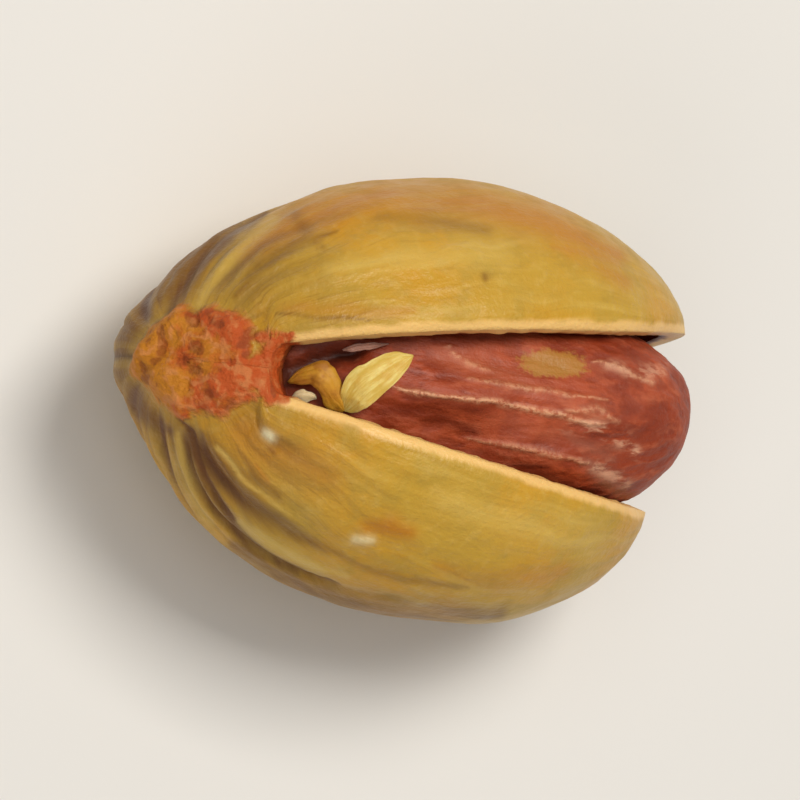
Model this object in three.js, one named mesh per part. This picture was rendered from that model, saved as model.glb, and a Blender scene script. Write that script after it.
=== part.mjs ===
// A roasted pistachio in its shell, in millimetres. The nut lies on its back with the split upward:
// +X runs from the stem end to the tip, +Z is up, and the surface that it lies on is z = 0.
// The shell is drawn closed, as an egg round the X axis, and its halves are then turned apart.

import * as THREE from "three";
import { mergeVertices } from "three/addons/utils/BufferGeometryUtils.js";

const { smoothstep, degToRad } = THREE.MathUtils;

// The closed shell
const LENGTH = 19.65; // stem end to tip
const THICKNESS = 12.5; // across the two halves
const HEIGHT = 13.1; // from the split line to the back line
const WALL = 1.0;
const STEM_WALL = 0.25; // further wall at the stem end
const FULLNESS = 0.095; // share by which the stem side is fuller than the tip side, seen from the side
const SIDE_FULLNESS = [0.015, -0.015]; // the same seen from above, of the -Y half and of the +Y half
const STEM_NARROWING = [0.45, 0]; // share by which each half narrows right at the stem end
const STEM_SPREAD = 0.45; // radians from the stem end that the narrowing takes up
const TIP_BEAK = 0.35; // how far the tip is drawn out
const STEM_BEAK = 1.0; // how far the stem end is
const BEAK_SPREAD = 0.5; // radians round each end that it takes up

// How it has opened. Angles along the nut run from the stem end, 0, to the tip, 180.
const SPLIT_START = degToRad(44); // where the split on top begins
const BACK_SPLIT_START = degToRad(95); // where the split of the back begins
const HINGE_START = degToRad(20); // where the line that the halves turn about meets the top
const HINGE_END = degToRad(77); // and where it meets the back
const TIP_GAP = 5.8; // between the tips of the two halves
const HINGE_SOFTNESS = 0.35; // how widely the wall bends across that line at the suture
const BELLY_SOFTNESS = 0.22; // and how much more for each millimetre out from the suture
const SHORTER_TIP = 0.8; // the -Y half ends this much short of the +Y one
const TIP_LEAN = 0.45; // the end of the +Y half leans out by this much
const LEAN_START = degToRad(120); // from here on
const WEB_ANGLE = 0.6; // radians beside the split line over which the closed wall stretches
const REST_DEPTH = 0.17; // how much of the lowest wall is rubbed flat

// The stem scar: a rough oval pad, on the split line beside the stem end
const SCAR_PLACE = degToRad(27);
const SCAR_HALF_LENGTH = 2.35;
const SCAR_HALF_WIDTH = 1.6;
const SCAR_RISE = 0.38;
const SCAR_LUMP = 0.14;
const SCAR_PIT = 0.22;

// Grooves between the ribs, which fan out from the scar over the belly. A groove's bearing round the
// scar is given at GROOVE_BASE millimetres from it, and turns back by turn for each millimetre on and by
// bend for each millimetre squared. It has died away at the distance end.
const GROOVE_BASE = 3;
const GROOVES = [
  [
    { bearing: 0.62, turn: 0.03, bend: 0, depth: 0.1, halfWidth: 0.3, end: 7 },
    { bearing: 1.57, turn: 0.085, bend: 0, depth: 0.3, halfWidth: 0.42, end: 9 },
    { bearing: 1.84, turn: 0, bend: 0.0095, depth: 0.34, halfWidth: 0.27, end: 13 },
    { bearing: 2.3, turn: 0.03, bend: 0.004, depth: 0.26, halfWidth: 0.34, end: 12 },
    { bearing: 2.72, turn: 0.02, bend: 0.006, depth: 0.2, halfWidth: 0.36, end: 10 },
  ],
  [
    { bearing: 0.95, turn: 0.05, bend: 0, depth: 0.08, halfWidth: 0.32, end: 7 },
    { bearing: 1.46, turn: 0.06, bend: 0, depth: 0.13, halfWidth: 0.34, end: 9 },
    { bearing: 2.1, turn: 0.07, bend: -0.006, depth: 0.28, halfWidth: 0.4, end: 10 },
    { bearing: 2.62, turn: 0.03, bend: 0.004, depth: 0.22, halfWidth: 0.36, end: 11 },
  ],
];
const RIB_SWELL = 0.09; // how far the ribs stand proud beside a groove
const RIB_SPREAD = 2.6; // how many times as far out as the groove they reach
const RIB_RISE = [1.7, 3.0]; // distances from the scar's middle over which they appear
const SEAM_DEPTH = 0.16; // groove of the closed suture at the stem end and along the back
const SEAM_WIDTH = 0.45;
const LIP_RISE = 0.06; // the wall stands slightly proud beside the split
const LIP_WIDTH = 1.1;
const MARGIN_ROUND = 0.32; // and its margin rounds down by this much
const MARGIN_WIDTH = 0.6;
const SWELL = 0.07; // slow unevenness of the belly

// The kernel
const KERNEL_HALF = { length: 8.75, width: 4.15, height: 5.3 };
const KERNEL_CENTRE = new THREE.Vector3(1.3, 0.15, -0.02);
const KERNEL_BLUNTNESS = 2.7; // 2 is an ellipse, more is blunter
const KERNEL_SKEW = 0.1; // how much further its tip end reaches for each millimetre towards +Y
const KERNEL_RIDGE = 0.2; // the seam that stands up along its top
const KERNEL_RIDGE_WIDTH = 0.42;
const KERNEL_FURROW = 0.16; // shallow hollows each side of the seam
const KERNEL_SWELL = 0.1;
const KERNEL_TAPER = 0.45; // share by which its underside rises towards the tip
const KERNEL_NARROWING = 0.13; // share by which its flanks draw in there, under the blunt top

// The dried seed stalk: a shred of two leaves, from beside the scar slantwise over the kernel.
// Each place is x, y, the height over the kernel's top, and half the width there.
const STALK_PLACES = [
  [-5.6, -0.45, 0.0, 0.15],
  [-5.1, -0.2, 0.0, 0.42],
  [-4.6, -0.3, 0.0, 0.5],
  [-4.15, -0.62, 0.0, 0.3],
  [-3.75, -0.5, 0.1, 0.32],
  [-3.35, -0.05, 0.2, 0.6],
  [-2.8, 0.45, 0.25, 0.5],
  [-2.3, 0.8, 0.2, 0.26],
  [-1.95, 1.0, 0.15, 0.07],
];
const STALK_THICKNESS = 0.62;
const STALK_LIFT = 0.18; // of its underside over the kernel's plain top

// Fineness of the meshes
const ROWS = 44;
const OUTER_COLUMNS = 26;
const INNER_COLUMNS = 13;
const KERNEL_ROWS = 30;
const KERNEL_COLUMNS = 30;
const STALK_ROWS = 22;
const STALK_COLUMNS = 12;
const MERGE_WITHIN = 1e-4;

// Numbers 0 to 1 times span, closer together at both ends by the share given.
function steps(count, span, crowding) {
  return Array.from({ length: count + 1 }, (_, i) => {
    const u = i / count;
    return span * (u - (crowding / (2 * Math.PI)) * Math.sin(2 * Math.PI * u));
  });
}

const shellRows = steps(ROWS, Math.PI, 0.3);

// A point of the closed shell, inset millimetres under its outer face. along runs from the stem end
// to the tip, round from the split line (0) over one half to the back line (180 degrees).
function closedPoint(along, round, side, inset) {
  const half = side < 0 ? 0 : 1;
  const narrowing = STEM_NARROWING[half] * Math.exp(-((along / STEM_SPREAD) ** 2));
  const fullness = SIDE_FULLNESS[half] * Math.cos(along);
  const width = Math.sin(along) * (1 + fullness) * (1 - narrowing);
  const height = Math.sin(along) * (1 + FULLNESS * Math.cos(along));
  const stemward = inset > 0 ? STEM_WALL * smoothstep(Math.cos(along), 0.2, 1) : 0;
  const tipBeak = TIP_BEAK * Math.exp(-(((Math.PI - along) / BEAK_SPREAD) ** 2));
  const stemBeak = STEM_BEAK * Math.exp(-((along / BEAK_SPREAD) ** 2));
  const beak = tipBeak - stemBeak + (STEM_BEAK - TIP_BEAK) / 2;
  const short = side < 0 ? SHORTER_TIP * smoothstep(along, BACK_SPLIT_START, Math.PI) : 0;
  return new THREE.Vector3(
    -(LENGTH / 2 - inset - stemward) * Math.cos(along) + beak - short,
    side * (THICKNESS / 2 - inset) * width * Math.sin(round),
    (HEIGHT / 2 - inset) * height * Math.cos(round),
  );
}

const scarCentre = closedPoint(SCAR_PLACE, 0, 1, 0);
const tip = closedPoint(Math.PI, 0, 1, 0);
const scarToTip = tip.clone().sub(scarCentre).normalize();
const scarTangent = closedPoint(SCAR_PLACE + 0.01, 0, 1, 0).sub(scarCentre).normalize();

// The outward direction of the closed shell at a point.
function outward(point) {
  return new THREE.Vector3(
    point.x / (LENGTH / 2) ** 2,
    point.y / (THICKNESS / 2) ** 2,
    point.z / (HEIGHT / 2) ** 2,
  ).normalize();
}

// How far the scar raises the wall: a pad with a ragged edge, lumps and an off-centre pit.
function scarRelief(point) {
  const offset = point.clone().sub(scarCentre);
  const lengthwise = offset.dot(scarTangent);
  const bearing = Math.atan2(point.y, lengthwise);
  const ragged = 1 + 0.07 * Math.sin(5 * bearing + 0.8) + 0.05 * Math.sin(9 * bearing);
  const reach = Math.hypot(lengthwise / SCAR_HALF_LENGTH, point.y / SCAR_HALF_WIDTH) * ragged;
  const pad = 1 - smoothstep(reach, 0.7, 1.1);
  const lumps = Math.sin(3.1 * lengthwise + 1) * Math.sin(3.7 * point.y + 0.6);
  const pit = Math.exp(-((reach / 0.35) ** 2));
  return pad * (SCAR_RISE + SCAR_LUMP * lumps - SCAR_PIT * pit);
}

// How far the ribs lower or raise the wall: grooves with slightly swollen ribs between them.
function ribRelief(point, side) {
  const offset = point.clone().sub(scarCentre);
  const distance = offset.length();
  const across = offset.addScaledVector(scarToTip, -offset.dot(scarToTip));
  const bearing = Math.atan2(Math.abs(point.y), across.z);
  const on = distance - GROOVE_BASE;
  let relief = 0;
  for (const groove of GROOVES[side < 0 ? 0 : 1]) {
    const line = groove.bearing - groove.turn * on - groove.bend * on * Math.abs(on);
    const gap = ((bearing - line) * across.length()) / groove.halfWidth;
    const rise = RIB_SWELL * Math.exp(-((gap / RIB_SPREAD) ** 2));
    const left = 1 - smoothstep(distance, GROOVE_BASE, groove.end);
    relief += left * (rise - groove.depth * Math.exp(-gap * gap));
  }
  const offSeam = smoothstep(Math.abs(point.y), 0.2, 1.2);
  return relief * smoothstep(distance, ...RIB_RISE) * offSeam;
}

// The margins: a groove where the suture is closed, a slight lip where it has split.
function marginRelief(point, along) {
  const onTop = point.z > 0;
  const aside = Math.abs(point.y);
  const start = onTop ? SPLIT_START : BACK_SPLIT_START;
  const open = smoothstep(along, start - 0.15, start + 0.15);
  const seam = Math.exp(-((point.y / SEAM_WIDTH) ** 2));
  const lip = Math.exp(-((point.y / LIP_WIDTH) ** 2));
  const offTip = smoothstep(Math.PI - along, 0.1, 0.6);
  const offScar = smoothstep(point.distanceTo(scarCentre), 1.8, 2.6);
  const rounded = MARGIN_ROUND * Math.max(0, 1 - aside / MARGIN_WIDTH) ** 2;
  const split = open * offTip * (LIP_RISE * lip - rounded);
  return offScar * (split - SEAM_DEPTH * seam * (1 - open));
}

function swellRelief(point) {
  const slow = Math.sin(0.55 * point.x + 0.4) * Math.sin(0.7 * point.z + 0.35 * point.y);
  return SWELL * slow + 0.5 * SWELL * Math.sin(1.1 * point.x + 0.8 * point.y);
}

const hinge = closedPoint(HINGE_START, 0, 1, 0);
const hingeBack = closedPoint(HINGE_END, Math.PI, 1, 0);
const hingeLine = hinge.clone().sub(hingeBack).setY(0).normalize();
const pastHinge = new THREE.Vector3(hingeLine.z, 0, -hingeLine.x);
const tipReach = tip.clone().sub(hinge).dot(pastHinge);
const halfAngle = Math.asin(TIP_GAP / 2 / tipReach);

// Turns a point of one half about the hinge line, easing in across it so that the belly doesn't
// fold. The wall that is still joined doesn't part at the suture, so it stretches there: joined is 0
// on the suture and 1 away from it.
function opened(point, side, joined) {
  const reach = point.clone().sub(hinge).dot(pastHinge);
  const aside = Math.abs(point.y);
  const softness = HINGE_SOFTNESS + BELLY_SOFTNESS * aside;
  const eased = softness * Math.log(1 + Math.exp(reach / softness)) * joined;
  const begun = joined / (1 + Math.exp(-reach / softness));
  const outwards = eased * Math.sin(halfAngle) - aside * begun * (1 - Math.cos(halfAngle));
  const backwards = eased * (1 - Math.cos(halfAngle)) + aside * begun * Math.sin(halfAngle);
  point.y += side * outwards;
  return point.addScaledVector(pastHinge, -backwards);
}

const restHeight = -HEIGHT / 2 + REST_DEPTH;

function shellPoint(along, round, side, inset) {
  const point = closedPoint(along, round, side, inset);
  if (inset === 0) {
    const ribbed = ribRelief(point, side) + scarRelief(point);
    const relief = ribbed + marginRelief(point, along) + swellRelief(point);
    point.addScaledVector(outward(point), relief);
  }
  const web = (start, angle) => (along < start ? smoothstep(angle, 0, WEB_ANGLE) : 1);
  const joined = web(SPLIT_START, round) * web(BACK_SPLIT_START, Math.PI - round);
  opened(point, side, joined * smoothstep(along, 0, HINGE_START));
  if (side > 0) point.y += TIP_LEAN * smoothstep(along, LEAN_START, Math.PI);
  if (inset === 0) point.z = Math.max(point.z, restHeight);
  return point;
}

// Adds one triangle unless two of its corners are the same place.
function addTriangle(corners, a, b, c) {
  const least = MERGE_WITHIN;
  if (a.distanceTo(b) < least || b.distanceTo(c) < least || c.distanceTo(a) < least) return;
  corners.push(a, b, c);
}

// Adds a grid of points as triangles; flip turns their faces round.
function addGrid(corners, grid, flip) {
  for (let i = 0; i + 1 < grid.length; i++) {
    for (let j = 0; j + 1 < grid[i].length; j++) {
      const quad = [grid[i][j], grid[i + 1][j], grid[i + 1][j + 1], grid[i][j + 1]];
      if (flip) quad.reverse();
      addTriangle(corners, quad[0], quad[1], quad[2]);
      addTriangle(corners, quad[0], quad[2], quad[3]);
    }
  }
}

function closedGeometry(corners) {
  const geometry = new THREE.BufferGeometry().setFromPoints(corners);
  const merged = mergeVertices(geometry, MERGE_WITHIN);
  merged.computeVertexNormals();
  return merged;
}

// One sheet of a half, as rows of points.
function halfSheet(side, inset, columns) {
  const rounds = steps(columns, Math.PI, 0.4);
  return shellRows.map((along) => rounds.map((round) => shellPoint(along, round, side, inset)));
}

// The wall's cut face along one line of the split, from the last joined row to the tip.
function rim(outer, inner, start, column) {
  const first = shellRows.findIndex((along) => along >= start) - 1;
  const last = (sheet, i) => sheet[i][column === 0 ? 0 : sheet[i].length - 1];
  return shellRows.slice(first).map((_, k) => [last(outer, first + k), last(inner, first + k)]);
}

function makeShell() {
  const corners = [];
  for (const side of [1, -1]) {
    const outer = halfSheet(side, 0, OUTER_COLUMNS);
    const inner = halfSheet(side, WALL, INNER_COLUMNS);
    const turned = side < 0;
    addGrid(corners, outer, turned);
    addGrid(corners, inner, !turned);
    addGrid(corners, rim(outer, inner, SPLIT_START, 0), !turned);
    addGrid(corners, rim(outer, inner, BACK_SPLIT_START, 1), turned);
  }
  return closedGeometry(corners);
}

// Height of the kernel's relief: a wavy seam along the top between two shallow hollows.
function kernelRelief(point, onTop) {
  const x = point.x - KERNEL_CENTRE.x;
  const wave = 0.22 * Math.sin(0.8 * x + 0.5) + 0.08 * Math.sin(2.3 * x);
  const ends = smoothstep(x, -6.5, -3.5) * (1 - smoothstep(x, 4.0, 7.5));
  const seam = Math.exp(-(((point.y - wave) / KERNEL_RIDGE_WIDTH) ** 2));
  const furrow = Math.exp(-(((Math.abs(point.y - wave) - 1.25) / 0.6) ** 2));
  const swell = Math.sin(0.9 * x + 0.7 * point.y) * Math.sin(0.8 * point.z + 1.3 * point.y);
  const top = onTop * ends * (KERNEL_RIDGE * seam - KERNEL_FURROW * furrow);
  return top + KERNEL_SWELL * swell;
}

function kernelPoint(along, round) {
  const power = 2 / KERNEL_BLUNTNESS;
  const girth = Math.sin(along) ** power;
  const x = -Math.sign(Math.cos(along)) * Math.abs(Math.cos(along)) ** power;
  const spoke = new THREE.Vector3(0, Math.sin(round), Math.cos(round));
  const taper = spoke.z < 0 ? 1 - KERNEL_TAPER * smoothstep(x, -0.3, 0.8) : 1;
  const flank = 1 - KERNEL_NARROWING * smoothstep(x, 0.3, 0.9) * (1 - smoothstep(spoke.z, 0.45, 1));
  const point = new THREE.Vector3(
    x * KERNEL_HALF.length,
    girth * spoke.y * KERNEL_HALF.width * flank,
    girth * spoke.z * KERNEL_HALF.height * taper,
  ).add(KERNEL_CENTRE);
  const relief = kernelRelief(point, smoothstep(spoke.z, 0.2, 0.8));
  point.x += KERNEL_SKEW * point.y * smoothstep(x, 0, 1);
  return point.addScaledVector(spoke, relief * Math.min(1, girth * 1.5));
}

function makeKernel() {
  const corners = [];
  const grid = steps(KERNEL_ROWS, Math.PI, 0).map((along) =>
    steps(KERNEL_COLUMNS, 2 * Math.PI, 0).map((round) =>
      kernelPoint(Math.min(along, Math.PI), round % (2 * Math.PI)),
    ),
  );
  addGrid(corners, grid, false);
  return closedGeometry(corners);
}

// Height of the kernel's plain top at a place along it.
function kernelTop(x) {
  const share = Math.abs(x - KERNEL_CENTRE.x) / KERNEL_HALF.length;
  const girth = (1 - share ** KERNEL_BLUNTNESS) ** (1 / KERNEL_BLUNTNESS);
  return KERNEL_CENTRE.z + KERNEL_HALF.height * girth;
}

const stalkLine = new THREE.CatmullRomCurve3(
  STALK_PLACES.map(([x, y, lift]) => new THREE.Vector3(x, y, lift)),
  false,
  "catmullrom",
);
const stalkWidths = new THREE.SplineCurve(
  STALK_PLACES.map(([x, , , width]) => new THREE.Vector2(x, width)),
);

// The shred is a flat tube along its line, as wide as the leaf is there.
function stalkPoint(share, round) {
  const place = stalkLine.getPoint(share);
  const ahead = stalkLine.getTangent(share);
  const acrossLine = new THREE.Vector3(-ahead.y, ahead.x, 0).normalize();
  const thick = (STALK_THICKNESS / 2) * Math.min(1, 0.1 + 8 * share * (1 - share));
  const under = kernelTop(place.x) + STALK_LIFT;
  const middle = new THREE.Vector3(place.x, place.y, under + thick + place.z);
  middle.addScaledVector(acrossLine, stalkWidths.getPoint(share).y * Math.sin(round));
  middle.z += thick * Math.cos(round);
  return middle;
}

function makeStalk() {
  const corners = [];
  const grid = steps(STALK_ROWS, 1, 0).map((share) =>
    steps(STALK_COLUMNS, 2 * Math.PI, 0).map((round) =>
      stalkPoint(share, round % (2 * Math.PI)),
    ),
  );
  const closing = (row) => row.map(() => row[0].clone().lerp(row[STALK_COLUMNS / 2], 0.5));
  addGrid(corners, [closing(grid[0]), ...grid, closing(grid[STALK_ROWS])], false);
  return closedGeometry(corners);
}

function shellMaterial() {
  return new THREE.MeshStandardMaterial({ color: 0xc89c48, roughness: 0.55, metalness: 0 });
}

function kernelMaterial() {
  return new THREE.MeshStandardMaterial({ color: 0xa5523a, roughness: 0.6, metalness: 0 });
}

function stalkMaterial() {
  return new THREE.MeshStandardMaterial({ color: 0xe0bd60, roughness: 0.7, metalness: 0 });
}

function named(name, geometry, material) {
  const mesh = new THREE.Mesh(geometry, material);
  mesh.name = name;
  return mesh;
}

const group = new THREE.Group();
group.add(named("shell", makeShell(), shellMaterial()));
group.add(named("kernel", makeKernel(), kernelMaterial()));
group.add(named("funicle", makeStalk(), stalkMaterial()));

// The origin is under the middle of the nut, on the surface that it lies on.
const box = new THREE.Box3().setFromObject(group);
const middle = box.getCenter(new THREE.Vector3());
group.position.set(-middle.x, -middle.y, -box.min.z);

export default group;
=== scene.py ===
"""A roasted pistachio in its shell, dressed and lit for the camera.

The shell, the kernel and the dried seed stalk are drawn again here from the same measures as the
solids, much finer and with the relief that is too small for the solids. Shapes are worked out in
millimetres, round the nut's own axis, and each finished mesh is in metres in the model's frame.
"""

import bpy
import numpy as np
from mathutils import Matrix, Vector, noise


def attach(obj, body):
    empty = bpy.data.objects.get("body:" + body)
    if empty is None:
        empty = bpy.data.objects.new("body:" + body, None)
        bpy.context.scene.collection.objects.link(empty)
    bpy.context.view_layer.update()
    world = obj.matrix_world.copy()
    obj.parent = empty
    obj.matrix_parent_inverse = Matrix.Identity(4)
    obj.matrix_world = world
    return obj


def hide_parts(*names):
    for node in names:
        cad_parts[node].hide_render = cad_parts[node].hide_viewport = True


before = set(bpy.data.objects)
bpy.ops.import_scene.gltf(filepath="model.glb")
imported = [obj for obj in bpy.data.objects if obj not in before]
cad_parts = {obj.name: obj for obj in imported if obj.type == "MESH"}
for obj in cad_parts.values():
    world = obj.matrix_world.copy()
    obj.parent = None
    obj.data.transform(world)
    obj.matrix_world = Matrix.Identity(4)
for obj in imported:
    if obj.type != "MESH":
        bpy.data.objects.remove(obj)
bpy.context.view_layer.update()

MILLIMETRE = 0.001
# Where the measures below put the nut: its axis is this far from the model's origin.
AXIS_PLACE = np.array([0.1151, -0.0979, 6.38])

# The closed shell, as in the solids
LENGTH = 19.65
THICKNESS = 12.5
HEIGHT = 13.1
WALL = 1.0
STEM_WALL = 0.25
FULLNESS = 0.095
SIDE_FULLNESS = {-1: 0.015, 1: -0.015}
STEM_NARROWING = {-1: 0.45, 1: 0.0}
STEM_SPREAD = 0.45
TIP_BEAK = 0.35
STEM_BEAK = 1.0
BEAK_SPREAD = 0.5

# How it has opened
SPLIT_START = np.radians(44)
BACK_SPLIT_START = np.radians(95)
SPLIT_ROUNDING = 0.05
HINGE_START = np.radians(20)
HINGE_END = np.radians(77)
TIP_GAP = 5.8
HINGE_SOFTNESS = 0.35
BELLY_SOFTNESS = 0.22
SHORTER_TIP = 0.8
TIP_LEAN = 0.45  # the end of the +Y half leans out by this much
LEAN_START = np.radians(120)  # from here on
WEB_ANGLE = 0.6
REST_HEIGHT = -HEIGHT / 2 + 0.17

# The scar and seams
SCAR_PLACE = np.radians(27)
SCAR_HALF_LENGTH = 2.35
SCAR_HALF_WIDTH = 1.6
SCAR_RAGGED = (0.07, 0.05)
SCAR_FADE = (0.7, 1.1)
SCAR_RISE = 0.38
SCAR_LUMP = 0.14
SCAR_PIT = 0.22
SCAR_PIT_SHARE = 0.35
SEAM_DEPTH = 0.16
SEAM_WIDTH = 0.45
LIP_RISE = 0.06
LIP_WIDTH = 1.1
MARGIN_ROUND = 0.26  # less than in the solids
MARGIN_WIDTH = 0.6
SPLIT_EASE = 0.15
SWELL = 0.07
# The distances from the scar and the suture, and the angle from the tip, that relief comes in over
OFF_SCAR = (1.8, 2.6)
OFF_SUTURE = (0.2, 1.2)
OFF_TIP = (0.1, 0.6)

# Grooves between the ribs, for each half: bearing round the scar at GROOVE_BASE millimetres from it,
# its turn for each millimetre on, its bend, depth, half width and the distance where it has died away
GROOVE_BASE = 3
GROOVES = {
    -1: [
        (0.62, 0.03, 0, 0.1, 0.3, 7),
        (1.57, 0.085, 0, 0.3, 0.42, 9),
        (1.84, 0, 0.0095, 0.34, 0.27, 13),
        (2.3, 0.03, 0.004, 0.26, 0.34, 12),
        (2.72, 0.02, 0.006, 0.2, 0.36, 10),
    ],
    1: [
        (0.95, 0.05, 0, 0.08, 0.32, 7),
        (1.46, 0.06, 0, 0.13, 0.34, 9),
        (2.1, 0.07, -0.006, 0.28, 0.4, 10),
        (2.62, 0.03, 0.004, 0.22, 0.36, 11),
    ],
}
# Narrower ones that the solids leave out
FINE_GROOVES = {
    -1: [
        (0.9, 0.05, 0, 0.04, 0.12, 7),
        (1.24, 0.06, 0, 0.06, 0.13, 8),
        (1.72, 0.03, 0.006, 0.07, 0.1, 9),
        (2.03, 0.02, 0.007, 0.1, 0.12, 12),
        (2.52, 0.03, 0.005, 0.08, 0.13, 11),
        (2.92, 0.02, 0.003, 0.06, 0.12, 9),
    ],
    1: [
        (0.7, 0.05, 0, 0.04, 0.12, 6),
        (1.2, 0.06, 0, 0.05, 0.12, 8),
        (1.76, 0.06, 0, 0.07, 0.13, 9),
        (2.36, 0.05, 0, 0.08, 0.14, 10),
        (2.86, 0.02, 0, 0.06, 0.12, 9),
    ],
}
RIB_SWELL = 0.09
RIB_SPREAD = 2.6
RIB_RISE = (1.7, 3.0)
DARKEST_GROOVE_DEPTH = 0.2  # grooves this deep or deeper are fully darkened, partly their own brown and partly painted shade

# The kernel
KERNEL_HALF = (8.75, 4.15, 5.3)
KERNEL_CENTRE = np.array([1.3, 0.15, -0.02])
KERNEL_BLUNTNESS = 2.7
KERNEL_TIP_BLUNTNESS = 3.0  # blunter than in the solid
KERNEL_SKEW = 0.1
KERNEL_RIDGE = 0.2
KERNEL_RIDGE_WIDTH = 0.42
KERNEL_FURROW = 0.16
KERNEL_FURROW_PLACE = 1.25
KERNEL_FURROW_WIDTH = 0.6
KERNEL_SWELL = 0.1
KERNEL_TAPER = 0.45
KERNEL_NARROWING = 0.13

# Fineness of the meshes: how many steps, over which angle, and how much closer they are at its ends
SHELL_ROWS = (210, np.pi, 0.3)
OUTER_COLUMNS = (150, np.pi, 0.4)
INNER_COLUMNS = (44, np.pi, 0.4)
KERNEL_ROWS = (230, np.pi, 0.2)
KERNEL_COLUMNS = (300, 2 * np.pi, 0.45)
RIM_STEPS = 6
# The angle at the ends of the long axis over which fine relief comes in
SHELL_CALM = 0.1
KERNEL_CALM = 0.12

# The nut is looked at along one slant. Marks that the eye sees from there are placed on the flat
# that faces it, as (right, up) in millimetres from the view's middle, and so are fixed to the nut.
SLANT_BACK = np.radians(22)
SLANT_ASIDE = np.radians(4.4)
SLANT_TURN = np.radians(7.9)
SLANT_MIDDLE = np.array([0.0, -0.13])


def slant_axes():
    """The right, up and back directions of the slanted flat."""
    level = np.cos(SLANT_BACK)
    back = np.array([-np.sin(SLANT_BACK), -np.sin(SLANT_ASIDE) * level, np.cos(SLANT_ASIDE) * level])
    along = np.array([1.0, 0, 0]) - back[0] * back
    along /= np.linalg.norm(along)
    aside = np.cross(back, along)
    right = along * np.cos(SLANT_TURN) + aside * np.sin(SLANT_TURN)
    up = aside * np.cos(SLANT_TURN) - along * np.sin(SLANT_TURN)
    return right, up, back


SLANT_RIGHT, SLANT_UP, SLANT_OUT = slant_axes()


def smoothstep(value, low, high):
    share = np.clip((value - low) / (high - low), 0, 1)
    return share * share * (3 - 2 * share)


def bell(value, width):
    """1 at 0, falling away on both sides over about a width."""
    return np.exp(-((value / width) ** 2))


def steps(count, span, crowding):
    """Numbers 0 to 1 times span, closer together at both ends by the share given."""
    u = np.linspace(0, 1, count + 1)
    return span * (u - crowding / (2 * np.pi) * np.sin(2 * np.pi * u))


def calm_ends(along, angle):
    """0 at both ends of the long axis, 1 beyond an angle from them."""
    return smoothstep(along, 0, angle) * smoothstep(np.pi - along, 0, angle)


def noise_over(points, scale, shift=0.0):
    """Smooth noise from -1 to 1 at each point, where scale is how many swings to a millimetre."""
    flat = np.asarray(points, float).reshape(-1, 3) * scale + shift
    values = [noise.noise(place) for place in flat.tolist()]
    return np.array(values).reshape(points.shape[:-1])


def rough_over(points, scale, octaves, shift=0.0):
    """Noise in several octaves, each half as strong and twice as fine."""
    total = 0
    for octave in range(octaves):
        total = total + noise_over(points, scale * 2**octave, shift + 7.3 * octave) / 2**octave
    return total


def creased_over(points, scale, octaves, shift=0.0):
    """Noise with sharp crests, from 0 to about 1."""
    total = 0
    for octave in range(octaves):
        fine = noise_over(points, scale * 2**octave, shift + 5.1 * octave)
        total = total + (1 - np.abs(fine) * 2) / 2**octave
    return np.clip(total / 1.6, 0, 1)


def on_slant(points):
    """Places of points on the slanted flat, as (right, up)."""
    return np.stack([points @ SLANT_RIGHT, points @ SLANT_UP], axis=-1) - SLANT_MIDDLE


STROKE_THINNEST = 0.02  # the least share of its width that a stroke narrows to
STROKE_FADING = 4  # a stroke fades where its share is under one in this many
STRAY = 0.1  # how far drawn places stray from their paths


def strayed(points, plain, scale, shifts):
    """Places of points on the flat, moved a little by noise that is worked out over plain."""
    stray = np.stack([rough_over(plain, scale, 2, shift) for shift in shifts], axis=-1)
    return on_slant(points) + STRAY * stray


def stroke(places, path, width):
    """How near places on the flat are to a path of (right, up, share of the width): 1 on it."""
    best = np.zeros(places.shape[:-1])
    for (x0, y0, w0), (x1, y1, w1) in zip(path, path[1:]):
        start = np.array([x0, y0])
        run = np.array([x1 - x0, y1 - y0])
        along = np.clip((places - start) @ run / (run @ run), 0, 1)
        gap = np.linalg.norm(places - start - along[..., None] * run, axis=-1)
        share = w0 + along * (w1 - w0)
        spread = np.maximum(share, STROKE_THINNEST) * width
        strength = np.minimum(1, STROKE_FADING * share)
        best = np.maximum(best, strength * bell(gap, spread))
    return best


def drawn_masks(marks, places, facing):
    """A mask for each kind of mark, as strong as the strongest of its strokes at each place."""
    masks = {}
    for kind, strokes in marks.items():
        masks[kind] = np.zeros(facing.shape)
        for strength, width, path in strokes:
            mark = strength * stroke(places, path, width) * facing
            masks[kind] = np.maximum(masks[kind], mark)
    return masks


def blot(places, x, y, half_wide, half_high, turn=0.0):
    """An oval patch on the flat: 1 in its middle, 0 well outside."""
    across = places[..., 0] - x
    upward = places[..., 1] - y
    u = across * np.cos(turn) + upward * np.sin(turn)
    v = upward * np.cos(turn) - across * np.sin(turn)
    return np.exp(-((u / half_wide) ** 2) - (v / half_high) ** 2)


def closed_point(along, around, side, inset):
    """Points of the closed shell, inset millimetres under its outer face."""
    cos_along = np.cos(along)
    narrowing = STEM_NARROWING[side] * bell(along, STEM_SPREAD)
    width = np.sin(along) * (1 + SIDE_FULLNESS[side] * cos_along) * (1 - narrowing)
    height = np.sin(along) * (1 + FULLNESS * cos_along)
    stemward = STEM_WALL * smoothstep(cos_along, 0.2, 1) if inset > 0 else 0
    tip_beak = TIP_BEAK * bell(np.pi - along, BEAK_SPREAD)
    stem_beak = STEM_BEAK * bell(along, BEAK_SPREAD)
    beak = tip_beak - stem_beak + (STEM_BEAK - TIP_BEAK) / 2
    short = SHORTER_TIP * smoothstep(along, BACK_SPLIT_START, np.pi) if side < 0 else 0
    x = -(LENGTH / 2 - inset - stemward) * cos_along + beak - short
    y = side * (THICKNESS / 2 - inset) * width * np.sin(around)
    z = (HEIGHT / 2 - inset) * height * np.cos(around)
    return np.stack(np.broadcast_arrays(x, y, z), axis=-1)


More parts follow.
